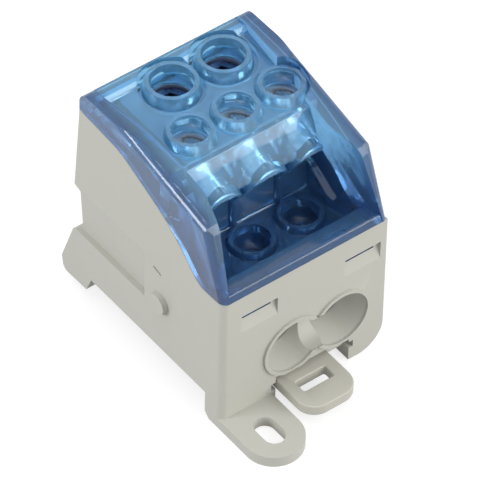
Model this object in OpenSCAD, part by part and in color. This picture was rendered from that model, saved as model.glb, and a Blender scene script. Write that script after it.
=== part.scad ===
// Single-pole distribution block for a 35 mm rail, with a clear clip-on cover.
// Seven wires are clamped in one metal body: two at the back, three and two at the front.
// The housing's left wall is at x = 0, its front wall at y = 0 and its feet at z = 0,
// and the whole block is then set over the middle of its own footprint.

/* [Housing] */
// Width of the housing
body_w = 38.5; // [37:0.5:44]
// Depth of the housing at its open top
body_d = 44.3; // [43.5:0.1:48]
// Height of the front wall
front_h = 33.3; // [32.5:0.1:35]
// Thickness of the walls
wall = 2; // [1.6:0.1:2.2]
// Thickness of the floor over the rail
floor_t = 1.6; // [1.4:0.1:1.8]
// How far the back wall leans out above its step
back_lean = 1.7; // [1:0.1:2.4]

/* [Rail foot] */
// Width of the rail
rail_w = 35; // [35:1:35]
// Thickness of the rail's flanges
rail_t = 1; // [1:0.1:1.5]
// Height of the seat that rests on the rail
seat_h = 6.3; // [6.1:0.1:7]
// Depth of the front foot
foot_d = 4.9; // [4.6:0.1:5.4]
// Play of the rail between foot and hook
rail_play = 0.9; // [0.5:0.1:1.2]
// How far the hook's nose reaches under the rail
hook_grip = 1.8; // [1.2:0.1:2.4]
// How far the hook's arm stands out behind the housing
hook_reach = 6; // [5:0.1:7]
// Thickness of the hook's nose
nose_t = 2.6; // [2.2:0.1:2.8]

/* [Mounting ear] */
// Width of the ear
ear_w = 12.1; // [11:0.1:12.5]
// Reach of the ear in front of the housing
ear_reach = 14.4; // [13.5:0.1:18]
// Thickness of the ear
ear_t = 2.4; // [2:0.1:3]
// Width of the ear's slot
slot_w = 4.4; // [4.2:0.1:5.2]
// Length of the ear's slot
slot_l = 7.2; // [6:0.1:7.4]

/* [Rail latch] */
// Width of the latch's tab
tab_w = 12.6; // [11.5:0.1:13]
// Thickness of the latch
tab_t = 2.4; // [2.2:0.1:3]
// Reach of the tab in front of the housing
tab_reach = 10.3; // [10:0.1:13]
// Radius of the tab's corners
tab_r = 4; // [3:0.1:5]
// Width of the screwdriver slot in the tab
pry_w = 7; // [6:0.1:8]
// Length of the screwdriver slot in the tab
pry_l = 2.9; // [2.5:0.1:3.2]
// Travel of the latch
latch_travel = 3.2; // [2.8:0.1:3.4]
// Depth of the grooves that guide the latch
groove_d = 1; // [0.8:0.1:1.2]
// Width of the right foot beside the latch bay
right_foot_w = 8.1; // [7.5:0.1:9]

/* [Clamps] */
// Shift of the lower clamps from the middle of the metal body
lower_shift = 0.7; // [0:0.1:0.9]
// Share of the spare width that lies between the main bores
main_spread = 0.2; // [0.15:0.05:0.3]
// Share of the spare width that lies between the lower bores
lower_spread = 0.275; // [0.2:0.025:0.3]
// Distance of the main screws from the back of the metal body
main_in = 5.3; // [4.9:0.1:5.7]
// Distance of the upper screws from the front wall
upper_y = 25; // [24.6:0.1:25.4]
// Distance of the lower screws from the front wall
lower_y = 13; // [12.8:0.1:13.4]
// Depth of the main wires under the top of the metal body
main_drop = 12.9; // [12:0.1:13.4]
// Depth of the upper wires under the top of the metal body
upper_drop = 8; // [7.6:0.1:8.2]
// Height of the lower wires over the foot of the metal body
lower_rise = 5; // [4.7:0.1:5.4]
// Radius of the main wire bores
main_bore_r = 5.2; // [4.8:0.1:5.3]
// Radius of the upper wire bores
upper_bore_r = 3.1; // [2.9:0.1:3.3]
// Radius of the lower wire bores
lower_bore_r = 3.8; // [3.4:0.1:4]
// Radius of the main screws
main_screw_r = 4; // [3.6:0.1:4.2]
// Radius of the upper and lower screws
small_screw_r = 3; // [2.7:0.1:3.2]
// Length of the main screws
main_screw_l = 9; // [8:0.1:10]
// Length of the upper screws
upper_screw_l = 5.4; // [5:0.1:6]
// Length of the lower screws
lower_screw_l = 6.2; // [5.5:0.1:7]

/* [Terminal body] */
// Height of the terminal body's tall part
terminal_h = 40.5; // [40.2:0.1:40.8]
// Height of the terminal body's front step
step_h = 15.5; // [15.2:0.1:15.8]
// Distance of the step's front from the front wall
step_y = 8.2; // [7.8:0.1:8.4]
// Distance of the tall part's front from the front wall
tower_y = 20.6; // [20.4:0.1:20.8]
// Metal beside the outer upper bores
side_metal = 0.8; // [0.6:0.1:0.8]
// Room between the metal body and the left wall
side_room = 5.25; // [5:0.05:5.5]

/* [Cover] */
// Thickness of the cover's walls
cover_t = 1.6; // [1.4:0.1:1.7]
// Height of the panel's back over the metal body
panel_over = 3.8; // [3.6:0.1:4.4]
// Fall of the panel towards the front
panel_fall = 1.5; // [1.2:0.1:1.6]
// Height of the side rims over the panel
rim_over = 2; // [1.8:0.1:2.6]
// Distance of the panel's front edge from the front wall
panel_y = 18.5; // [18.2:0.1:18.8]
// Width of the back strip
strip_d = 3.6; // [3:0.1:4]
// Width of the side rims at the back
rim_back = 2.6; // [2.2:0.1:3]
// Width of the side rims beside the hoods
rim_front = 4.8; // [3.6:0.1:5]
// Depth of the recessed floor under the front wall's edge
recess_d = 3.7; // [3.3:0.1:4]
// Distance of the wall under the hoods from the front wall
recess_y = 18.6; // [18.4:0.1:18.8]
// Height of the front lip over the front wall
lip_h = 1.7; // [1.4:0.1:2.2]
// Depth of the front lip
lip_d = 4.8; // [4.4:0.1:5.2]
// Width of the cheeks at their front ends
cheek_front = 1.4; // [1.2:0.1:2]
// Rounding of the rims' outer edges
crest_r = 2; // [1.6:0.1:2.2]
// Outer radius of the hoods
hood_r = 5.1; // [4.8:0.1:5.1]
// Thickness of the hoods
hood_t = 0.9; // [0.8:0.1:1]
// Tilt of the hoods towards the front
hood_tilt = 30; // [24:1:34]
// Reach of the hoods in front of the wall under them
hood_reach = 2.9; // [2.4:0.1:3.2]
// Radius of the main tool sleeves' holes
main_hole_r = 4.3; // [4.2:0.1:4.5]
// Radius of the upper tool sleeves' holes
upper_hole_r = 3.7; // [3.4:0.1:3.8]
// Radius of the lower tool sleeves' holes
lower_hole_r = 3.6; // [3.4:0.1:3.8]
// Wall of the tool sleeves
sleeve_t = 0.85; // [0.8:0.05:1]
// Widening of the sleeves' collars towards their foot
flare = 0.7; // [0.4:0.1:0.7]
// Height of the main sleeves over the panel
main_sleeve_h = 1.5; // [1:0.1:2]
// Height of the upper sleeves over the panel
upper_sleeve_h = 1.6; // [1:0.1:2]
// Height of the lower sleeves over the recessed floor
lower_sleeve_h = 1.1; // [0.8:0.1:1.6]

/* [Fits] */
// Clearance between moulded parts
fit_gap = 0.2; // [0.15:0.05:0.3]
// Clearance round the screws
screw_gap = 0.1; // [0.05:0.05:0.15]

/* [Hidden] */
MAIN_SCREWS = [for (i = [1 : 2]) str("main_screw_", i)];
UPPER_SCREWS = [for (i = [1 : 3]) str("upper_screw_", i)];
LOWER_SCREWS = [for (i = [1 : 2]) str("lower_screw_", i)];
PARTS = ["housing", "rail_latch", "terminal_body", "cover"];
$fn = 64;

// Length by which a cutting shape passes the face that it opens
cut = 1;
// Length of the shapes that cut everything above or below a place
tall = 60;

// Width and middle of the metal body, and the clamps side by side in it
terminal_left = wall + side_room;
terminal_right = body_w - wall - fit_gap - 0.05;
terminal_w = terminal_right - terminal_left;
terminal_mid = (terminal_left + terminal_right) / 2;
main_pitch = 2 * main_bore_r + main_spread * (terminal_w - 4 * main_bore_r);
upper_pitch = terminal_w / 2 - upper_bore_r - side_metal;
lower_pitch = 2 * lower_bore_r + lower_spread * (terminal_w - 4 * lower_bore_r);
main_x = [for (i = [-0.5, 0.5]) terminal_mid + i * main_pitch];
upper_x = [for (i = [-1 : 1]) terminal_mid + i * upper_pitch];
lower_x = [for (i = [-0.5, 0.5]) terminal_mid + lower_shift + i * lower_pitch];

// Heights that follow from the metal body
terminal_z = seat_h + floor_t;
terminal_top = terminal_z + terminal_h;
step_top = terminal_z + step_h;
main_z = terminal_top - main_drop;
upper_z = terminal_top - upper_drop;
lower_z = terminal_z + lower_rise;
back_h = terminal_top + 0.7;
panel_back_h = terminal_top + panel_over;
panel_front_h = panel_back_h - panel_fall;
crest_h = panel_back_h + rim_over;
recess_h = front_h - recess_d;

// Rail foot
recess_back = foot_d + rail_w + rail_play;
arm_low = seat_h - rail_t - fit_gap - nose_t;
back_step_z = seat_h + 22;
arm_top_z = seat_h + 10.6;

// Latch
tab_top = seat_h - rail_t - 0.1;
tab_low = tab_top - tab_t;
bay_left = (body_w - tab_w) / 2;
bay_right = body_w - right_foot_w;
grip_end = foot_d + rail_play / 2 + latch_travel - fit_gap;
post_r = 1.1;
post_y = 2.7;
tongue_t = tab_t / 2;

// Metal body
terminal_back = body_d - wall - fit_gap;
main_y = terminal_back - main_in;
upper_bore_l = 9.4;
main_bore_l = 10.8;
lower_bore_l = 9.6;

// Top edge of the side walls: level, then a long convex sweep up to the back
brow_z = back_h - 1;
sweep_foot = [7.2, front_h - 0.3];
edge_points = [[0, front_h], sweep_foot, [16, back_h - 7.8], [31.5, brow_z], [body_d, back_h]];
edge_radii = [0, 5, 34, 12, 0];

// Side outline of the rims, from the front edge up and over to the back
crest_back_z = crest_h - 0.3;
crest_points = [
    [-0.3, front_h - 8],
    [-0.3, front_h + 0.6],
    [5.4, crest_h - 5.3],
    [28, crest_h],
    [body_d, crest_back_z],
    [body_d, front_h - 8]
];
crest_radii = [0, 1, 4.4, 20, 2.6, 0];

// Skin between the rims: front lip, recessed floor, wall, band, panel and back strip
lip_top = front_h + lip_h;
panel_end = body_d - strip_d - 1;
skin_points = [
    [-0.3, front_h + 0.1],
    [0.5, lip_top],
    [lip_d - 0.3, lip_top - 0.3],
    [lip_d + 0.7, recess_h],
    [recess_y, recess_h],
    [recess_y + 0.3, upper_z + 0.4],
    [panel_y - 3.3, panel_front_h - 8.5],
    [panel_y - 1.9, panel_front_h - 3.4],
    [panel_y, panel_front_h],
    [panel_end, panel_back_h],
    [panel_end + 1, crest_h - 0.8],
    [body_d + 4, crest_h - 1.6]
];
skin_radii = [0, 0.6, 0.7, 0.7, 0.8, 0.6, 0.8, 8, 0.5, 0.5, 0.4, 0];

function unit(v) = v / norm(v);
function turned(v, a) = [v[0] * cos(a) - v[1] * sin(a), v[0] * sin(a) + v[1] * cos(a)];
function cross2(a, b) = a[0] * b[1] - a[1] * b[0];

// Points of the arc of radius r that rounds the corner b between a and c
function corner(a, b, c, r) =
    let (u = unit(a - b), v = unit(c - b), half = acos(max(-1, min(1, u * v))) / 2)
    r == 0 || half > 89 ? [b] :
    let (
        middle = b + unit(u + v) * r / sin(half),
        start = b + u * r / tan(half) - middle,
        sweep = (180 - 2 * half) * sign(cross2(b - a, c - b)),
        steps = max(1, ceil(abs(sweep) / 9))
    )
    [for (i = [0 : steps]) middle + turned(start, sweep * i / steps)];

// Open outline with its inner corners rounded by the radii beside them
function rounded(p, r) = [
    for (i = [0 : len(p) - 1])
        for (q = i == 0 || i == len(p) - 1 ? [p[i]] : corner(p[i - 1], p[i], p[i + 1], r[i])) q
];

// Open outline moved sideways by t, to the right of its direction for a positive t
function shifted(p, t) = [
    for (i = [0 : len(p) - 1])
        let (
            before = unit(i == 0 ? p[1] - p[0] : p[i] - p[i - 1]),
            after = unit(i == len(p) - 1 ? p[i] - p[i - 1] : p[i + 1] - p[i]),
            n1 = [before[1], -before[0]],
            n2 = [after[1], -after[0]]
        )
        p[i] + (n1 + n2) * t / (1 + n1 * n2)
];

function reversed(p) = [for (i = [len(p) - 1 : -1 : 0]) p[i]];

edge_line = rounded(edge_points, edge_radii);
crest_line = rounded(crest_points, crest_radii);
skin_line = rounded(skin_points, skin_radii);

// Everything is built from the left front corner and set over the footprint's middle
peg_l = 1.2;
block_back = body_d + hook_reach;
module placed() {
    translate([(peg_l - body_w) / 2, (ear_reach - block_back) / 2, 0]) children();
}

// Extrudes a side outline, drawn as [y, z] points, from x = from to x = to
module across(from, to) {
    translate([from, 0, 0]) rotate([90, 0, 90]) linear_extrude(to - from) children();
}

// Cylinder along y, from the given distance to another
module bore_y(x, z, r, from, to) {
    translate([x, to, z]) rotate([90, 0, 0]) cylinder(r = r, h = to - from);
}

// Wire funnel for two bores: two cones joined by a round trough at the waist.
// It opens towards -y at y = 0 for side = 1, and towards +y for side = -1.
module twin_funnel(xs, z, mouth_r, throat_r, waist_r, depth, side = 1) {
    for (x = xs)
        translate([x, 0, z]) rotate([-90 * side, 0, 0]) {
            cylinder(r1 = mouth_r, r2 = throat_r, h = depth);
            translate([0, 0, -3 * cut]) cylinder(r = mouth_r, h = 3 * cut + 0.1);
        }
    translate([xs[0], 0, z]) rotate([0, 90, 0]) cylinder(r = waist_r, h = xs[1] - xs[0]);
}

foot_chamfer = 1.3;
arm_d = hook_reach - 2.3;
module housing_outline() {
    polygon(concat(
        [
            [0, 0],
            [foot_d - foot_chamfer, 0],
            [foot_d, foot_chamfer],
            [foot_d, seat_h],
            [recess_back, seat_h],
            [recess_back + 1.6, arm_low]
        ],
        corner([recess_back + 1.6, arm_low], [block_back - 0.6, arm_low - 0.3],
            [block_back, arm_low + 3], 1.5),
        [
            [block_back, arm_low + 3],
            [body_d + arm_d - 1.4, arm_top_z - 1.2],
            [body_d + 0.6, arm_top_z],
            [body_d - 0.1, back_step_z - 0.8],
            [body_d + back_lean, back_step_z]
        ],
        reversed(edge_line)
    ));
}

// Hollow that holds the metal body, with a shallower front over the wire funnels
funnel_top = step_top + 0.8;
module housing_hollow() {
    across(wall, body_w - wall) polygon([
        [step_y, terminal_z],
        [body_d - wall, terminal_z],
        [body_d - wall, back_h + 10],
        [wall, back_h + 10],
        [wall, funnel_top],
        [step_y, funnel_top]
    ]);
}

// Clip windows near the top of the front wall
window_w = 8.6;
window_left = 4.3;
window_top = front_h - 5.3;
window_h = 4.2;
slit_h = 1;
channel_d = 1.1;
window_x = [window_left, body_w - window_left - window_w + 2.9];
module window(x) {
    low = window_top - window_h;
    depth = wall - channel_d + fit_gap;
    across(x, x + window_w) polygon([
        [-1, window_top],
        [-1, low - 0.6],
        [0, low],
        [depth, window_top - slit_h],
        [wall + 0.5, window_top - slit_h],
        [wall + 0.5, window_top]
    ]);
    translate([x + 1, wall - channel_d, low]) cube([window_w - 2, channel_d + 0.5, front_h]);
}

module ear() {
    end_r = ear_w / 2;
    difference() {
        union() {
            translate([0, end_r - ear_reach, 0]) cube([ear_w, ear_reach - end_r + 1, ear_t]);
            translate([end_r, end_r - ear_reach, 0]) cylinder(r = end_r, h = ear_t);
        }
        slot_shape(end_r, -ear_reach / 2, slot_w, slot_l, -1, ear_t + 1);
    }
}

// Slot with round ends, long along y, cut from one height to another
module slot_shape(x, y, w, l, low, high) {
    run = l - w;
    for (side = [-1, 1])
        translate([x, y + side * run / 2, low]) cylinder(r = w / 2, h = high - low);
    translate([x - w / 2, y - run / 2, low]) cube([w, run, high - low]);
}

// Wedge that thins the left wall above the ledge of its lower band
ledge_z = arm_top_z - 0.6;
ledge_front = body_d * 0.54;
wedge_d = 1.2;
wedge_h = 12;
module side_wedge() {
    translate([0, body_d + 4, ledge_z]) rotate([90, 0, 0])
        linear_extrude(body_d + 4 - ledge_front)
            polygon([[-1, 0], [wedge_d, 0], [0, wedge_h], [-1, wedge_h]]);
}

peg_y = 18.9;
peg_z = 19;
peg_r = 2.3;
foot_round = 6;
corner_r = 1.4;
rib_h = 18;
module housing() {
    color([0.83, 0.82, 0.79]) difference() {
        union() {
            difference() {
                across(0, body_w) housing_outline();
                housing_hollow();
            }
            ear();
            // peg that keys into the next block
            translate([-peg_l, peg_y, peg_z]) rotate([0, 90, 0]) cylinder(r = peg_r, h = peg_l + 1);
            // ribs that keep the metal body off the left wall
            for (y = [step_y + 3, terminal_back - 7])
                translate([wall - 1, y, terminal_z - 1])
                    cube([terminal_left - wall - fit_gap + 1, 1.6, rib_h]);
            // lips round the wire funnels
            for (x = lower_x) bore_y(x, lower_z, lower_mouth_r + 0.8, -0.5, 1);
            for (x = main_x)
                bore_y(x, main_z, main_mouth_r + 0.8, body_d - wall, body_d + back_lean + 0.4);
            // nose of the hook, under the rail's back flange
            translate([wall + 3, recess_back - rail_play / 2 - hook_grip, arm_low])
                cube([body_w - 2 * wall - 6, hook_grip + 4, nose_t]);
        }
        // bay of the rail latch, its guide grooves, and the space under the hook's sides
        translate([bay_left, -2, -1]) cube([bay_right - bay_left, foot_d + 3, seat_h + 1]);
        translate([bay_left - groove_d, -1, tab_low + tongue_t / 2 - fit_gap])
            cube([bay_right - bay_left + 2 * groove_d, foot_d + 2, tongue_t + 2 * fit_gap]);
        // wire funnels
        twin_funnel(lower_x, lower_z, lower_mouth_r, lower_bore_r + fit_gap, waist_r, 5.4);
        for (x = lower_x) bore_y(x, lower_z, lower_bore_r + fit_gap, 1, step_y + 1);
        translate([0, body_d + back_lean, 0])
            twin_funnel(main_x, main_z, main_mouth_r, main_bore_r + fit_gap, waist_r, 3.4, -1);
        for (x = main_x)
            bore_y(x, main_z, main_bore_r + fit_gap, body_d - wall - 1, body_d + back_lean + 2);
        for (x = window_x) window(x);
        side_wedge();
        // socket for the next block's peg, in the right wall
        translate([body_w - peg_l - fit_gap, peg_y, peg_z]) rotate([0, 90, 0])
            cylinder(r = peg_r + fit_gap, h = peg_l + 1);
        // small slit above the peg
        translate([-1, peg_y, peg_z + 6.8]) rotate([14, 0, 0]) cube([1.5, 2.4, 0.5]);
        // rounded upright edge at the front left and rounded corner of the right foot
        translate([0, 0, ear_t]) edge_cut(corner_r, front_h + 5);
        translate([body_w, foot_d + 0.5, 0]) rotate([90, 0, 0]) mirror([1, 0, 0])
            edge_cut(foot_round, foot_d + 1);
    }
    color([0.83, 0.82, 0.79]) latch_post();
}

// Tool that rounds the edge along z between the faces x = 0 and y = 0
module edge_cut(r, h) {
    difference() {
        translate([-1, -1, 0]) cube([r + 1, r + 1, h]);
        translate([r, r, -1]) cylinder(r = r, h = h + 2);
    }
}

lower_mouth_r = 6.1;
main_mouth_r = 6.9;
waist_r = 4.25;

// Post that hangs in the latch's slot and stops it at both ends of its travel
module latch_post() {
    translate([body_w / 2, post_y, tab_low + 0.4]) cylinder(r = post_r, h = seat_h - tab_low);
}

module rail_latch() {
    slot_front = post_y - post_r - fit_gap;
    slot_back = post_y + post_r + fit_gap + latch_travel;
    body_front = 1.6;
    color([0.83, 0.82, 0.79]) difference() {
        union() {
            // tab with rounded front corners
            translate([bay_left + fit_gap, 0, tab_low]) {
                w = tab_w - fit_gap;
                translate([0, tab_r - tab_reach, 0])
                    cube([w, tab_reach - tab_r + grip_end, tab_t]);
                translate([tab_r, -tab_reach, 0]) cube([w - 2 * tab_r, tab_r + 1, tab_t]);
                for (x = [tab_r, w - tab_r])
                    translate([x, tab_r - tab_reach, 0]) cylinder(r = tab_r, h = tab_t);
            }
            // wide body between the feet, with a tongue in each groove
            translate([bay_left + fit_gap, body_front, tab_low])
                cube([bay_right - bay_left - 2 * fit_gap, grip_end - body_front, tab_t]);
            translate([bay_left - groove_d + fit_gap, body_front, tab_low + tongue_t / 2])
                cube([
                    bay_right - bay_left + 2 * groove_d - 2 * fit_gap,
                    foot_d - body_front - fit_gap,
                    tongue_t
                ]);
        }
        // screwdriver slot
        translate([(body_w - pry_w) / 2, -2.3 - pry_l, tab_low - 1]) cube([pry_w, pry_l, tab_t + 2]);
        // slot for the stop post
        slot_shape(body_w / 2, (slot_front + slot_back) / 2, 2 * (post_r + fit_gap),
            slot_back - slot_front, tab_low - 1, tab_top + 1);
        // lead-in under the grip, so that the rail pushes the latch aside
        translate([0, grip_end, tab_low]) rotate([40, 0, 0])
            translate([0, -3, -3]) cube([body_w, 6, 3]);
    }
}

module terminal_outline() {
    polygon([
        [step_y + fit_gap, terminal_z],
        [terminal_back, terminal_z],
        [terminal_back, terminal_top],
        [tower_y, terminal_top],
        [tower_y, step_top],
        [step_y + fit_gap, step_top]
    ]);
}

module terminal_body() {
    color([0.78, 0.78, 0.77]) difference() {
        across(terminal_left, terminal_right) terminal_outline();
        for (x = lower_x) {
            bore_y(x, lower_z, lower_bore_r, step_y - 1, step_y + lower_bore_l);
            translate([x, lower_y, lower_z])
                cylinder(r = small_screw_r + screw_gap, h = step_top - lower_z + 1);
        }
        for (x = upper_x) {
            bore_y(x, upper_z, upper_bore_r, tower_y - 1, tower_y + upper_bore_l);
            translate([x, upper_y, upper_z])
                cylinder(r = small_screw_r + screw_gap, h = terminal_top - upper_z + 1);
        }
        for (x = main_x) {
            bore_y(x, main_z, main_bore_r, terminal_back - main_bore_l, terminal_back + 1);
            translate([x, main_y, main_z])
                cylinder(r = main_screw_r + screw_gap, h = terminal_top - main_z + 1);
        }
    }
}

// Grub screw with its top at z = 0, a pressing tip below and a hexagon socket
module hex_screw(r, l, key) {
    color([0.72, 0.72, 0.73]) difference() {
        union() {
            translate([0, 0, 1 - l]) cylinder(r = r, h = l - 1.5);
            translate([0, 0, -0.5]) cylinder(r1 = r, r2 = r - 0.5, h = 0.5);
            translate([0, 0, -l]) cylinder(r1 = r * 0.7, r2 = r, h = 1);
        }
        translate([0, 0, -l * 0.5]) cylinder(r = key / sqrt(3), h = l, $fn = 6);
    }
}

// The same screw with a straight slot
module slot_screw(r, l) {
    color([0.72, 0.72, 0.73]) difference() {
        union() {
            translate([0, 0, 1 - l]) cylinder(r = r, h = l - 1.5);
            translate([0, 0, -0.5]) cylinder(r1 = r, r2 = r - 0.5, h = 0.5);
            translate([0, 0, -l]) cylinder(r1 = r * 0.7, r2 = r, h = 1);
        }
        translate([-0.5, -r - 1, -1.4]) cube([1, 2 * r + 2, 2]);
    }
}

screw_drop = 0.3;
module main_screw(i) {
    translate([main_x[i], main_y, terminal_top - screw_drop])
        hex_screw(main_screw_r, main_screw_l, main_screw_r);
}

module upper_screw(i) {
    translate([upper_x[i], upper_y, terminal_top - screw_drop])
        slot_screw(small_screw_r, upper_screw_l);
}

module lower_screw(i) {
    translate([lower_x[i], lower_y, step_top - screw_drop])
        slot_screw(small_screw_r, lower_screw_l);
}

// Region over the top edge of the housing's side walls
module over_walls() {
    polygon(concat(
        shifted(edge_line, -fit_gap),
        [[body_d + 9, back_h + fit_gap], [body_d + 9, crest_h + 9], [-9, crest_h + 9],
            [-9, front_h + fit_gap]]
    ));
}

// Space over the cover's skin: lip, recessed floor, wall, band, panel and back strip
module over_skin() {
    polygon(concat(skin_line, [[body_d + 4, crest_h + 9], [-9, crest_h + 9], [-9, front_h + 0.1]]));
}

// Space under the roof, behind the wall under the hoods and inside the back wall
module under_skin() {
    front = recess_y + cover_t;
    back = body_d - wall;
    low = terminal_z;
    polygon([
        [front, low],
        [front, panel_front_h - cover_t - 0.5],
        [front + 0.5, panel_front_h - cover_t],
        [panel_end, panel_back_h - cover_t],
        [body_d - strip_d, crest_h - 1 - cover_t],
        [back, crest_h - 1.2 - cover_t],
        [back, low]
    ]);
}

// Plan of the space between the rims, which are widest beside the hoods
module between_rims() {
    left = [
        [cheek_front, -9],
        [cheek_front, -0.3],
        [rim_front, 12.3],
        [rim_front - 0.2, panel_y + 0.9],
        [rim_back, body_d - strip_d],
        [rim_back, body_d + 9]
    ];
    polygon(concat(left, [for (q = reversed(left)) [body_w - q[0], q[1]]]));
}

// Tray that hangs between the side walls: recessed floor, its sides and the wall under the hoods
module tray() {
    front = wall + fit_gap;
    back = recess_y + cover_t + 1;
    across(wall + fit_gap, body_w - wall - fit_gap) polygon([
        [front, recess_h - cover_t],
        [front, front_h + 0.9],
        [6.5, crest_h - 9.9],
        [back, panel_front_h - 2],
        [back, recess_h - cover_t]
    ]);
}

// Everything under a plane that rises by the given slope through the point p = [y, z],
// with both long edges of the plane rounded
module under_slope(p, angle) {
    reach = 3 * body_d;
    over = 0.05;
    w = body_w + 2 * over;
    translate([-over, p[0], p[1] + over]) rotate([angle, 0, 0]) translate([0, reach / 2, 0])
        rotate([90, 0, 0]) linear_extrude(reach) {
            translate([crest_r, -crest_r - 0.1]) square([w - 2 * crest_r, crest_r + 0.1]);
            translate([0, -reach]) square([w, reach - crest_r]);
            for (x = [crest_r, w - crest_r]) translate([x, -crest_r]) circle(r = crest_r);
        }
}

function slope(p, q) = atan2(q[1] - p[1], q[0] - p[0]);

// Outside of a tool sleeve: a tube that widens into a flared collar over the surface it crosses
module sleeve_body(x, y, top, low, foot, r) {
    translate([x, y, low]) cylinder(r = r, h = foot - low);
    translate([x, y, foot - 0.4]) cylinder(r1 = r + flare, r2 = r, h = top - foot + 0.4);
}

// Hood over an upper wire entry: a tilted half tube that grows out of the band
hood_root = 1.5;
hood_z = upper_z + 0.4;
module hood(x) {
    l = hood_reach + hood_root;
    translate([x, recess_y, hood_z]) rotate([hood_tilt + 90, 0, 0]) translate([0, 0, -hood_root])
        intersection() {
            cylinder(r = hood_r, h = l);
            translate([-hood_r - cut, -hood_r * 0.35, -cut])
                cube([2 * (hood_r + cut), 2 * hood_r, l + 2 * cut]);
        }
}

// Space of the tray between the side walls, in front of the metal body
module tray_space() {
    translate([wall + fit_gap, 0, 0])
        cube([body_w - 2 * (wall + fit_gap), recess_y + cover_t, crest_h]);
}

// Wire way under a hood, which leaves the tray's sides closed
module hood_bore(x) {
    r = hood_r - hood_t;
    intersection() {
        union() {
            translate([x, recess_y, hood_z]) rotate([hood_tilt + 90, 0, 0])
                translate([0, 0, 0.3]) cylinder(r = r, h = hood_reach + 8);
            bore_y(x, upper_z, r - 0.3, recess_y - 4, tower_y + 1);
        }
        translate([wall + cover_t, 0, 0]) cube([body_w - 2 * (wall + cover_t), body_d, tall]);
    }
}

function panel_z(y) = panel_back_h - (panel_end - y) * panel_fall / (panel_end - panel_y);

clip_t = 1.2;
module clip_leg(x) {
    leg_w = window_w - 2.6;
    y = wall - channel_d + fit_gap;
    translate([x + 1.3, y, window_top - 2.6]) cube([leg_w, clip_t + 0.6, front_h - window_top + 3.6]);
}

cover_gap = 0.3;
moat_d = 1;
moat_r = main_hole_r + sleeve_t + 1.4;
module cover() {
    color([0.25, 0.55, 0.8, 0.6]) difference() {
        union() {
            difference() {
                union() {
                    // rims, cheeks and roof, over the side walls
                    intersection() {
                        across(0, body_w) polygon(crest_line);
                        across(-cut, body_w + cut) over_walls();
                        under_slope(crest_points[2], slope(crest_points[1], crest_points[2]));
                        under_slope(crest_points[2], slope(crest_points[2], crest_points[3]));
                    }
                    tray();
                }
                intersection() {
                    across(-cut, body_w + cut) over_skin();
                    translate([0, 0, recess_h - 5]) linear_extrude(tall) between_rims();
                }
                across(wall - 0.1, body_w - wall + 0.1) under_skin();
                // ring grooves round the main sleeves, joined in the middle
                for (x = main_x)
                    translate([x, main_y, panel_z(main_y) - moat_d]) cylinder(r = moat_r, h = crest_h);
                // room in the right rim for the outer collar
                translate([upper_x[2], upper_y, panel_z(upper_y)])
                    cylinder(r = upper_hole_r + sleeve_t + flare + 0.1, h = tall);
            }
            intersection() {
                for (x = upper_x) hood(x);
                tray_space();
            }
            for (x = upper_x)
                sleeve_body(x, upper_y, panel_z(upper_y) + upper_sleeve_h, terminal_top + cover_gap,
                    panel_z(upper_y), upper_hole_r + sleeve_t);
            for (x = main_x)
                sleeve_body(x, main_y, panel_z(main_y) + main_sleeve_h, terminal_top + cover_gap,
                    panel_z(main_y) - moat_d, main_hole_r + sleeve_t);
            for (x = lower_x)
                sleeve_body(x, lower_y, recess_h + lower_sleeve_h, step_top + cover_gap,
                    recess_h, lower_hole_r + sleeve_t);
            // ribs on the wall between the hoods
            for (i = [0, 1])
                translate([(upper_x[i] + upper_x[i + 1]) / 2, recess_y, recess_h - 0.5])
                    cylinder(r = 0.9, h = upper_z - recess_h + 1);
            for (x = window_x) clip_leg(x);
        }
        for (x = main_x) translate([x, main_y, recess_h]) cylinder(r = main_hole_r, h = tall);
        for (x = upper_x) translate([x, upper_y, upper_z + hood_r]) cylinder(r = upper_hole_r, h = tall);
        for (x = lower_x) translate([x, lower_y, 0]) cylinder(r = lower_hole_r, h = front_h);
        for (x = upper_x) hood_bore(x);
    }
}

placed() housing();
placed() rail_latch();
placed() terminal_body();
placed() cover();
for (i = [0 : 1]) placed() main_screw(i);
for (i = [0 : 2]) placed() upper_screw(i);
for (i = [0 : 1]) placed() lower_screw(i);
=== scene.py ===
"""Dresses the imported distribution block: moulded housing, clear cover, plated metal and a pale studio."""
import math

import bmesh
import bpy
from bpy.props import FloatProperty, FloatVectorProperty, PointerProperty
from mathutils import Matrix, Vector


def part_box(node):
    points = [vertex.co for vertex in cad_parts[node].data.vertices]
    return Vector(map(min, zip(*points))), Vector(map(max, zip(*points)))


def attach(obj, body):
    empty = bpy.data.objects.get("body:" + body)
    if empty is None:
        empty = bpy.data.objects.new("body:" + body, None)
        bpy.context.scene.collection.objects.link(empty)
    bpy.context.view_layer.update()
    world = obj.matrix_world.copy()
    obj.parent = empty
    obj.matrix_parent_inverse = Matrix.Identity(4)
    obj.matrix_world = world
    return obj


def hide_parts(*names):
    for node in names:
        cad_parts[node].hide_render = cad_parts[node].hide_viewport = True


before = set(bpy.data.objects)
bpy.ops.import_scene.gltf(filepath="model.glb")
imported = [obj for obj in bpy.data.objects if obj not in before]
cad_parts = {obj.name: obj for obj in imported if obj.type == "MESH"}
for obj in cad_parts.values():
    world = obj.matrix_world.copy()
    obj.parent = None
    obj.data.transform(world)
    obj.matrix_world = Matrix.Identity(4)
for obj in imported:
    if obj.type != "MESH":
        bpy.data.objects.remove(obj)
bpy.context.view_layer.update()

bl_info = {
    "name": "Distribution Block Dressing",
    "version": (1, 0, 0),
    "blender": (4, 5, 0),
    "location": "View3D > Sidebar > Block",
    "description": "Dresses a rail-mounted distribution block with moulded, clear and plated finishes",
    "category": "Object",
}

SCREWS = sorted(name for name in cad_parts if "screw" in name)
MM = 0.001

# Points closer than this become one
MERGE = 0.002 * MM
# Faces that meet at less than this angle become one flat face
FLAT = math.radians(0.4)
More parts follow.
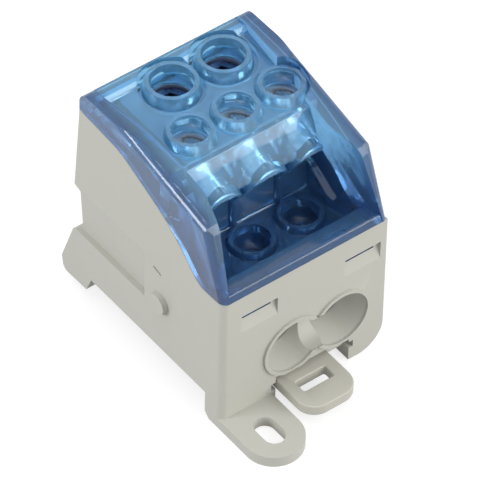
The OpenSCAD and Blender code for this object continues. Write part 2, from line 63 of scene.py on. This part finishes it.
# Edges of the block above this angle are shaded sharp, and those above the second get a radius
SHARP = math.radians(11)
ROUNDED = math.radians(28)
# Edges of a screw above this angle are shaded sharp
SCREW_SHARP = math.radians(30)

# The cover's side rims, where their painted shade, a deep tint, begins and is full, as shares of its half
# width
RIM_SHADE_SPAN = (0.76, 0.96)
# The painted shade, a deep tint, of the cover's front tray fades out between these distances from the front
# edge
TRAY_SHADE_REACH = (18 * MM, 23 * MM)
# It begins at the first of these depths below the cover's top and is full at the second
TRAY_SHADE_DEPTH = (8 * MM, 19 * MM)
# Share of the deep tint, which is painted shade, in the rims and in the tray
PAINTED_SHADE_SHARE = 0.8

# A screw's thread starts this far above its foot and is this much shorter than the screw
THREAD_START = 1.3 * MM
THREAD_SHORTER = 2.2 * MM
# Corners round one turn of a thread, and round its profile
TURN_CORNERS = 40
PROFILE_CORNERS = 4

# Half the floor's width, and how far it lies below the feet so that the two do not touch
FLOOR_HALF = 4.0
FLOOR_DROP = 0.15 * MM
# Each lamp's name, place, size and colour, the setting that holds its power, and its share of it
LAMPS = (
    ("key_lamp", (0.5, -0.9, 0.52), (1.1, 0.9), (1, 0.985, 0.96), "key", 1),
    ("fill_lamp", (-0.9, 0.3, 0.4), (0.4, 0.4), (0.97, 0.985, 1), "fill", 1),
    ("top_lamp", (-0.35, 0.05, 1.0), (0.25, 0.25), (1, 1, 1), "key", 0.09),
)


# Settings


class MouldedSettings(bpy.types.PropertyGroup):
    """Finish of the light grey moulded parts."""

    colour: FloatVectorProperty(
        name="Colour", description="Base colour of the moulded plastic",
        subtype="COLOR", size=3, min=0, max=1, default=(0.495, 0.493, 0.445))
    latch_colour: FloatVectorProperty(
        name="Latch colour", description="Base colour of the rail latch",
        subtype="COLOR", size=3, min=0, max=1, default=(0.495, 0.485, 0.43))
    edge: FloatProperty(
        name="Edge radius", description="Radius of the moulded edges",
        unit="LENGTH", precision=5, default=0.3 * MM)
    grain: FloatProperty(
        name="Grain", description="Size of the eroded texture's grains",
        unit="LENGTH", precision=5, default=0.45 * MM)


class CoverSettings(bpy.types.PropertyGroup):
    """Finish of the clear clip-on cover."""

    colour: FloatVectorProperty(
        name="Tint", description="Tint of the clear plastic",
        subtype="COLOR", size=3, min=0, max=1, default=(0.30, 0.66, 0.94))
    # The deep tint is painted shade on the side rims and in the recessed tray
    deep: FloatVectorProperty(
        name="Deep tint", description="Tint where the plastic is thick or lies deep in the recess",
        subtype="COLOR", size=3, min=0, max=1, default=(0.07, 0.20, 0.50))
    clarity: FloatProperty(
        name="Clarity", description="Share of the light that the plastic lets through unscattered",
        min=0, max=1, default=0.79)
    index: FloatProperty(
        name="Refractive index", description="Refractive index of the clear plastic", default=1.57)
    edge: FloatProperty(
        name="Edge radius", description="Radius of the cover's edges",
        unit="LENGTH", precision=5, default=0.28 * MM)
    wave: FloatProperty(
        name="Flow wave", description="Width of the faint waves that the moulding leaves",
        unit="LENGTH", precision=5, default=7 * MM)


class MetalSettings(bpy.types.PropertyGroup):
    """Finish of the terminal body and its screws."""

    # The plating colour is made bluer and darker than the bare metal: painted light through the blue cover
    # and painted shade
    tin_and_painted_light: FloatVectorProperty(
        name="Tin plating", description="Colour of the plated terminal body",
        subtype="COLOR", size=3, min=0, max=1, default=(0.58, 0.61, 0.66))
    # The screws' own bright plating, made lighter and bluer as painted light from the blue cover over them
    steel: FloatVectorProperty(
        name="Screw steel", description="Colour of the plated screws with slots",
        subtype="COLOR", size=3, min=0, max=1, default=(0.80, 0.86, 0.92))
    # Painted shade: the main screws are coloured dark so that the bottoms of the main sleeves look shaded
    main_steel_painted_shade: FloatVectorProperty(
        name="Main screw steel", description="Colour of the shade_darkened main screws",
        subtype="COLOR", size=3, min=0, max=1, default=(0.17, 0.20, 0.30))
    edge: FloatProperty(
        name="Edge radius", description="Radius of the terminal body's edges",
        unit="LENGTH", precision=5, default=0.2 * MM)
    pitch: FloatProperty(
        name="Thread pitch", description="Distance between two turns of the screws' threads",
        unit="LENGTH", precision=5, default=0.8 * MM)
    thread: FloatProperty(
        name="Thread height", description="How far a thread stands out of its root",
        unit="LENGTH", precision=5, default=0.3 * MM)


class StageSettings(bpy.types.PropertyGroup):
    """Camera, lamps and floor."""

    camera_at: FloatVectorProperty(
        name="Camera place", description="Where the camera stands",
        subtype="TRANSLATION", size=3, default=(-0.4518, -0.5705, 0.7751))
    look_at: FloatVectorProperty(
        name="Target", description="The point that the camera looks at",
        subtype="TRANSLATION", size=3, default=(0.0, -0.002, 0.0245))
    roll: FloatProperty(
        name="Roll", description="Turn of the camera about its own axis",
        subtype="ANGLE", default=math.radians(1.458))
    lens: FloatProperty(
        name="Focal length", description="Focal length on a sensor 36 mm wide", default=402)
    key: FloatProperty(name="Key lamp", description="Power of the large soft lamp", default=9.4)
    fill: FloatProperty(name="Fill lamp", description="Power of the side lamp", default=4.7)
    sky: FloatProperty(name="Sky", description="Strength of the even light all round", default=0.68)
    floor: FloatProperty(
        name="Floor grey", description="Share of the light that the floor throws back", default=0.38)
    glow: FloatProperty(
        name="Floor white", description="Strength that makes the floor read as white", default=0.72)


# Node expressions


class Field:
    """One output of a tree's nodes, which can be used in expressions."""

    def __init__(self, nodes, socket):
        self.nodes = nodes
        self.socket = socket

    def __add__(self, other):
        return self.nodes.maths("ADD", self, other)

    def __sub__(self, other):
        return self.nodes.maths("SUBTRACT", self, other)

    def __mul__(self, other):
        return self.nodes.maths("MULTIPLY", self, other)

    def __truediv__(self, other):
        return self.nodes.maths("DIVIDE", self, other)

    __radd__ = __add__
    __rmul__ = __mul__

    def __rsub__(self, other):
        return self.nodes.maths("SUBTRACT", other, self)

    def __rtruediv__(self, other):
        return self.nodes.maths("DIVIDE", other, self)

    def between(self, low, high):
        """0 below low, 1 above high and smooth in between."""
        return self.nodes.node(
            "ShaderNodeMapRange", {"interpolation_type": "SMOOTHSTEP"},
            {"Value": self, "From Min": low, "From Max": high}, "Result")


class Nodes:
    """A tree whose nodes are made from expressions."""

    def __init__(self, tree):
        self.tree = tree

    def node(self, kind, settings=None, values=None, out=0):
        """Adds a node of the given type with its settings, and the values or links of its sockets."""
        made = self.tree.nodes.new(kind)
        for key, value in (settings or {}).items():
            setattr(made, key, value)
        for key, value in (values or {}).items():
            if isinstance(value, Field):
                self.tree.links.new(value.socket, made.inputs[key])
            else:
                made.inputs[key].default_value = value
        return Field(self, made.outputs[out])

    def maths(self, operation, *terms):
        return self.node("ShaderNodeMath", {"operation": operation}, dict(enumerate(terms)))

    def shown(self):
        """1 for a ray that shows the background: from the camera, mirrored, or through clear plastic."""
        seen = self.node("ShaderNodeLightPath", out="Is Camera Ray")
        mirrored = self.node("ShaderNodeLightPath", out="Is Glossy Ray")
        through = self.node("ShaderNodeLightPath", out="Is Transmission Ray")
        return self.maths("MAXIMUM", seen + mirrored, through)


class Shader(Nodes):
    """A material."""

    def __init__(self, name):
        self.material = bpy.data.materials.new(name)
        self.material.use_nodes = True
        super().__init__(self.material.node_tree)
        self.tree.nodes.clear()
        self.output = self.tree.nodes.new("ShaderNodeOutputMaterial")

    def place(self):
        return self.node("ShaderNodeTexCoord", out="Object")

    def noise(self, size, detail, stretch=(1, 1, 1)):
        """Noise whose features are about as wide as size, in metres, 0 to 1."""
        at = self.node("ShaderNodeMapping", None, {"Vector": self.place(), "Scale": stretch})
        return self.node(
            "ShaderNodeTexNoise", None, {"Vector": at, "Scale": 1 / size, "Detail": detail}, "Fac")

    def axis(self, name):
        return self.node("ShaderNodeSeparateXYZ", None, {0: self.place()}, name)

    def mix(self, factor, a, b):
        return self.node("ShaderNodeMix", {"data_type": "RGBA"}, {0: factor, 6: a, 7: b}, 2)

    def bump(self, height, distance, strength):
        return self.node(
            "ShaderNodeBump", None, {"Height": height, "Distance": distance, "Strength": strength})

    def finish(self, **values):
        """Adds the surface shader. An underscore in a socket's name stands for a space."""
        surface = self.node(
            "ShaderNodeBsdfPrincipled", None, {k.replace("_", " "): v for k, v in values.items()})
        self.tree.links.new(surface.socket, self.output.inputs["Surface"])
        return self.material


def rgba(colour, factor=1.0):
    return tuple(min(1.0, c * factor) for c in colour) + (1.0,)


def moulded_plastic(name, colour, grain):
    """Matte moulded plastic: eroded grain, faint flow clouds and slightly uneven gloss."""
    m = Shader(name)
    clouds = m.noise(9 * MM, detail=3)
    flow = m.noise(22 * MM, detail=2, stretch=(1, 1, 0.35))
    grains = m.noise(grain, detail=2)
    specks = m.noise(0.9 * MM, detail=1)
    tone = m.mix(clouds * 0.6 + flow * 0.4, rgba(colour, 0.955), rgba(colour, 1.035))
    tone = m.mix(specks.between(0.66, 0.8) * 0.12, tone, rgba(colour, 0.82))
    return m.finish(
        Base_Color=tone,
        Roughness=0.44 + clouds * 0.1 + grains * 0.06,
        Specular_IOR_Level=0.42,
        Normal=m.bump(grains * 0.6 + flow * 2.0, distance=0.03 * MM, strength=0.5))


def clear_plastic(name, colour, deep, clarity, index, wave):
    """Clear tinted plastic: refraction through a faint haze, under a glossy skin with flow waves.

    The tint deepens in the thick side rims and down in the tray over the front wires, as painted shade.
    """
    m = Shader(name)
    waves = m.noise(wave, detail=2)
    ripples = m.noise(1.6 * MM, detail=2)
    haze = m.noise(12 * MM, detail=2)
    low, high = (Vector(corner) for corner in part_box("cover"))
    middle = (low.x + high.x) / 2
    half = high.x - middle
    off = m.maths("ABSOLUTE", m.axis("X") - middle)
    # Painted shade: the deep tint darkens the thick side rims
    rims = off.between(*(half * share for share in RIM_SHADE_SPAN)) * PAINTED_SHADE_SHARE
    # Painted shade: the deep tint darkens the tray down in the recess over the front wires
    front = 1 - m.axis("Y").between(*(low.y + reach for reach in TRAY_SHADE_REACH))
    upper, lower = TRAY_SHADE_DEPTH
    tray = (1 - m.axis("Z").between(high.z - lower, high.z - upper)) * front * PAINTED_SHADE_SHARE
    tone = m.mix(haze, rgba(colour, 0.94), rgba(colour, 1.05))
    # Painted shade: the rims and the tray take on the deep tint
    tone = m.mix(rims + tray * (1 - rims), tone, rgba(deep))
    return m.finish(
        Base_Color=tone,
        Roughness=0.05 + haze * 0.07,
        IOR=index,
        Transmission_Weight=clarity,
        Coat_Weight=0.05,
        Coat_Roughness=0.03,
        Normal=m.bump(waves * 3.0 + ripples * 0.4, distance=0.06 * MM, strength=0.5))


def tin_plating(name, colour):
    """Satin tin plating: fine upright saw lines and uneven spots, in a colour made bluer and darker as
    painted light and painted shade.
    """
    m = Shader(name)
    lines = m.noise(0.35 * MM, detail=3, stretch=(1, 1, 0.06))
    spots = m.noise(2.4 * MM, detail=4)
    return m.finish(
        Base_Color=m.mix(spots, rgba(colour, 0.84), rgba(colour, 1.1)),
        Metallic=1.0,
        Roughness=0.24 + spots * 0.18 + lines * 0.08,
        Normal=m.bump(lines, distance=0.02 * MM, strength=0.5))


def screw_steel(name, colour):
    """Plated steel with fine turning marks, in the colour it is given, which for the main screws is
    darkened as painted shade.
    """
    m = Shader(name)
    marks = m.noise(0.25 * MM, detail=2, stretch=(0.4, 0.4, 2))
    spots = m.noise(1.5 * MM, detail=3)
    return m.finish(
        Base_Color=m.mix(spots, rgba(colour, 0.82), rgba(colour, 1.12)),
        Metallic=1.0,
        Roughness=0.2 + spots * 0.16,
        Normal=m.bump(marks, distance=0.015 * MM, strength=0.4))


def studio_white(name, level, glow):
    """Matte surface that keeps shadows, reads as white, also in reflections, and is clear from below."""
    m = Shader(name)
    return m.finish(
        Base_Color=(level, level, level, 1),
        Roughness=0.9,
        Specular_IOR_Level=0.1,
        Emission_Color=(1, 1, 1, 1),
        Emission_Strength=m.shown() * glow,
        Alpha=1 - m.node("ShaderNodeNewGeometry", out="Backfacing"))


# Pieces


def merged_copy(node, name):
    """A copy of a CAD node's mesh with its doubles merged and its flat faces whole."""
    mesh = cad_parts[node].data.copy()
    mesh.name = name
    mesh.materials.clear()
    shape = bmesh.new()
    shape.from_mesh(mesh)
    bmesh.ops.remove_doubles(shape, verts=shape.verts, dist=MERGE)
    bmesh.ops.dissolve_degenerate(shape, edges=shape.edges, dist=MERGE)
    bmesh.ops.dissolve_limit(
        shape, angle_limit=FLAT, verts=shape.verts, edges=shape.edges, use_dissolve_boundaries=False)
    shape.to_mesh(mesh)
    shape.free()
    piece = bpy.data.objects.new(name, mesh)
    bpy.context.scene.collection.objects.link(piece)
    return piece


def shade(piece, angle):
    """Shades the piece smooth, apart from edges above the angle."""
    piece.data.shade_smooth()
    piece.data.set_sharp_from_angle(angle=angle)


def soften(piece, width):
    """Rounds the piece's edges and shades it smooth between them."""
    shade(piece, SHARP)
    bevel = piece.modifiers.new("moulded edges", "BEVEL")
    bevel.width = width
    bevel.segments = 2
    bevel.limit_method = "ANGLE"
    bevel.angle_limit = ROUNDED
    bevel.use_clamp_overlap = True
    bevel.harden_normals = True
    bevel.miter_outer = "MITER_ARC"
    bevel.loop_slide = False
    return piece


def dress(piece, material, body, slot, *nodes):
    """Gives the piece its material and body, and puts it in place of CAD nodes; the slot is not used."""
    piece.data.materials.clear()
    piece.data.materials.append(material)
    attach(piece, body)
    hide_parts(*nodes)


class BLOCK_OT_housing(bpy.types.Operator):
    """Make the moulded housing with its ear and rail hook"""

    bl_idname = "block.housing"
    bl_label = "Housing"

    def execute(self, context):
        finish = context.scene.block_moulded
        piece = soften(merged_copy("housing", "moulded_housing"), finish.edge)
        dress(piece, moulded_plastic("light grey moulding", finish.colour, finish.grain),
              "base", "housing", "housing")
        return {"FINISHED"}


class BLOCK_OT_latch(bpy.types.Operator):
    """Make the rail latch with its slotted tab"""

    bl_idname = "block.latch"
    bl_label = "Rail latch"

    def execute(self, context):
        finish = context.scene.block_moulded
        piece = soften(merged_copy("rail_latch", "slotted_latch"), finish.edge)
        dress(piece, moulded_plastic("latch moulding", finish.latch_colour, finish.grain),
              "latch", "latch", "rail_latch")
        return {"FINISHED"}


class BLOCK_OT_cover(bpy.types.Operator):
    """Make the clear cover with its tool sleeves and hoods"""

    bl_idname = "block.cover"
    bl_label = "Clear cover"

    def execute(self, context):
        finish = context.scene.block_cover
        piece = soften(merged_copy("cover", "clear_cover"), finish.edge)
        plastic = clear_plastic(
            "clear blue plastic", finish.colour, finish.deep, finish.clarity, finish.index, finish.wave)
        dress(piece, plastic, "cover", "cover", "cover")
        return {"FINISHED"}


class BLOCK_OT_terminal(bpy.types.Operator):
    """Make the plated terminal body"""

    bl_idname = "block.terminal"
    bl_label = "Terminal body"

    def execute(self, context):
        finish = context.scene.block_metal
        piece = soften(merged_copy("terminal_body", "plated_terminal"), finish.edge)
        # Its colour carries painted light through the blue cover and painted shade
        dress(piece, tin_plating("tin plating", finish.tin_and_painted_light), "base", "terminal", "terminal_body")
        return {"FINISHED"}


def thread_tree():
    """Geometry nodes that lay the turns of a thread round a screw's body."""
    tree = bpy.data.node_groups.new("screw thread", "GeometryNodeTree")
    face = tree.interface
    face.new_socket("Screw", in_out="INPUT", socket_type="NodeSocketGeometry")
    for label, value in (("Radius", 3 * MM), ("Length", 5 * MM), ("Pitch", 0.8 * MM), ("Height", 0.3 * MM)):
        face.new_socket(label, in_out="INPUT", socket_type="NodeSocketFloat").default_value = value
    face.new_socket("Foot", in_out="INPUT", socket_type="NodeSocketVector")
    face.new_socket("Finish", in_out="INPUT", socket_type="NodeSocketMaterial")
    face.new_socket("Threaded screw", in_out="OUTPUT", socket_type="NodeSocketGeometry")

    g = Nodes(tree)
    given = {socket.name: Field(g, socket) for socket in tree.nodes.new("NodeGroupInput").outputs}
    turns = g.maths("FLOOR", given["Length"] / given["Pitch"])
    lift = g.node("ShaderNodeCombineXYZ", None, {"Z": given["Pitch"]})
    line = g.node(
        "GeometryNodeMeshLine", {"mode": "OFFSET"},
        {"Count": turns, "Start Location": given["Foot"], "Offset": lift})
    ring = g.node(
        "GeometryNodeCurvePrimitiveCircle", {"mode": "RADIUS"},
        {"Resolution": TURN_CORNERS, "Radius": given["Radius"] - given["Height"]})
    profile = g.node(
        "GeometryNodeCurvePrimitiveCircle", {"mode": "RADIUS"},
        {"Resolution": PROFILE_CORNERS, "Radius": given["Height"]})
    turn = g.node("GeometryNodeCurveToMesh", None, {"Curve": ring, "Profile Curve": profile})
    rise = g.maths("ARCTAN2", given["Pitch"], given["Radius"] * (2 * math.pi))
    tilt = g.node("ShaderNodeCombineXYZ", None, {"X": rise})
    tilted = g.node(
        "GeometryNodeInstanceOnPoints", None, {"Points": line, "Instance": turn, "Rotation": tilt})
    thread = g.node("GeometryNodeRealizeInstances", None, {"Geometry": tilted})
    both = tree.nodes.new("GeometryNodeJoinGeometry")
    for part in (thread, given["Screw"]):
        tree.links.new(part.socket, both.inputs["Geometry"])
    done = g.node(
        "GeometryNodeSetMaterial", None,
        {"Geometry": Field(g, both.outputs["Geometry"]), "Material": given["Finish"]})
    tree.links.new(done.socket, tree.nodes.new("NodeGroupOutput").inputs["Threaded screw"])
    return tree


def apply_nodes(piece, tree, **values):
    """Makes the piece's mesh what the geometry nodes give, with no modifier left."""
    modifier = piece.modifiers.new("thread", "NODES")
    modifier.node_group = tree
    for item in tree.interface.items_tree:
        if item.in_out == "INPUT" and item.name in values:
            modifier[item.identifier] = values[item.name]
    graph = bpy.context.evaluated_depsgraph_get()
    mesh = bpy.data.meshes.new_from_object(piece.evaluated_get(graph))
    piece.modifiers.remove(modifier)
    piece.data = mesh


class BLOCK_OT_screws(bpy.types.Operator):
    """Make the seven clamping screws with their threads"""

    bl_idname = "block.screws"
    bl_label = "Clamping screws"

    def execute(self, context):
        finish = context.scene.block_metal
        # Plated steel with painted light: lighter and bluer, as if lit through the blue cover
        plated_and_lit_steel = screw_steel("screw steel", finish.steel)
        # Painted shade: darker steel for the main screws, deep in the main sleeves
        shaded_main_steel = screw_steel("main screw steel", finish.main_steel_painted_shade)
        tree = thread_tree()
        for name in SCREWS:
            steel = shaded_main_steel if name.startswith("main") else plated_and_lit_steel
            low, high = (Vector(corner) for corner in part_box(name))
            middle = (low + high) / 2
            piece = merged_copy(name, name.replace("screw", "clamp"))
            apply_nodes(
                piece, tree, Radius=(high.x - low.x) / 2, Length=high.z - low.z - THREAD_SHORTER,
                Pitch=finish.pitch, Height=finish.thread,
                Foot=(middle.x, middle.y, low.z + THREAD_START), Finish=steel)
            shade(piece, SCREW_SHARP)
            dress(piece, steel, name, "screws", name)
        return {"FINISHED"}


# Stage


def soft_lamp(name, at, to, size, power, colour):
    lamp = bpy.data.lights.new(name, "AREA")
    lamp.shape = "RECTANGLE"
    lamp.size, lamp.size_y = size
    lamp.energy = power
    lamp.color = colour
    thing = bpy.data.objects.new(name, lamp)
    thing.location = at
    thing.rotation_euler = (to - Vector(at)).to_track_quat("-Z", "Y").to_euler()
    bpy.context.scene.collection.objects.link(thing)


class BLOCK_OT_stage(bpy.types.Operator):
    """Set the camera, the lamps and the pale floor"""

    bl_idname = "block.stage"
    bl_label = "Studio"

    def execute(self, context):
        scene = context.scene
        stage = scene.block_stage
        place, target = Vector(stage.camera_at), Vector(stage.look_at)
        ahead = (target - place).normalized()
        right = ahead.cross(Vector((0, 0, 1))).normalized()
        up = right.cross(ahead)
        c, s = math.cos(stage.roll), math.sin(stage.roll)
        right, up = c * right + s * up, c * up - s * right
        lens = bpy.data.cameras.new("camera")
        lens.lens = stage.lens
        lens.sensor_width = 36
        lens.clip_start, lens.clip_end = 0.05, 30
        camera = bpy.data.objects.new("camera", lens)
        camera.matrix_world = Matrix.Translation(place) @ Matrix((right, up, -ahead)).transposed().to_4x4()
        scene.collection.objects.link(camera)
        scene.camera = camera

        floor = bpy.data.meshes.new("studio_floor")
        corners = ((-1, -1), (1, -1), (1, 1), (-1, 1))
        floor.from_pydata([(FLOOR_HALF * x, FLOOR_HALF * y, -FLOOR_DROP) for x, y in corners],
                          [], [(0, 1, 2, 3)])
        ground = bpy.data.objects.new("studio_floor", floor)
        floor.materials.append(studio_white("studio floor", stage.floor, stage.glow))
        scene.collection.objects.link(ground)

        for name, at, size, colour, power, share in LAMPS:
            soft_lamp(name, at, target, size, getattr(stage, power) * share, colour)

        world = bpy.data.worlds.new("studio sky")
        world.use_nodes = True
        scene.world = world
        sky = Nodes(world.node_tree)
        background = sky.tree.nodes["Background"]
        background.inputs["Color"].default_value = (0.985, 0.99, 1, 1)
        shown = sky.shown()
        strength = shown + (1 - shown) * stage.sky
        sky.tree.links.new(strength.socket, background.inputs["Strength"])
        scene.view_settings.view_transform = "Standard"
        return {"FINISHED"}


class BLOCK_PT_panel(bpy.types.Panel):
    """Lists the block's pieces"""

    bl_label = "Distribution block"
    bl_idname = "BLOCK_PT_panel"
    bl_space_type = "VIEW_3D"
    bl_region_type = "UI"
    bl_category = "Block"

    def draw(self, context):
        for operator in OPERATORS:
            self.layout.operator(operator.bl_idname)
        for group in GROUPS:
            settings = getattr(context.scene, group)
            self.layout.label(text=settings.bl_rna.name)
            for key in settings.__annotations__:
                self.layout.prop(settings, key)


GROUPS = {
    "block_moulded": MouldedSettings,
    "block_cover": CoverSettings,
    "block_metal": MetalSettings,
    "block_stage": StageSettings,
}
OPERATORS = (
    BLOCK_OT_stage,
    BLOCK_OT_housing,
    BLOCK_OT_latch,
    BLOCK_OT_terminal,
    BLOCK_OT_screws,
    BLOCK_OT_cover,
)
CLASSES = (*GROUPS.values(), *OPERATORS, BLOCK_PT_panel)


def register():
    for cls in CLASSES:
        bpy.utils.register_class(cls)
    for name, cls in GROUPS.items():
        setattr(bpy.types.Scene, name, PointerProperty(type=cls))


def unregister():
    for name in GROUPS:
        delattr(bpy.types.Scene, name)
    for cls in reversed(CLASSES):
        bpy.utils.unregister_class(cls)


def main():
    register()
    bpy.ops.block.stage()
    bpy.ops.block.housing()
    bpy.ops.block.latch()
    bpy.ops.block.terminal()
    bpy.ops.block.screws()
    bpy.ops.block.cover()


if __name__ == "__main__":
    main()
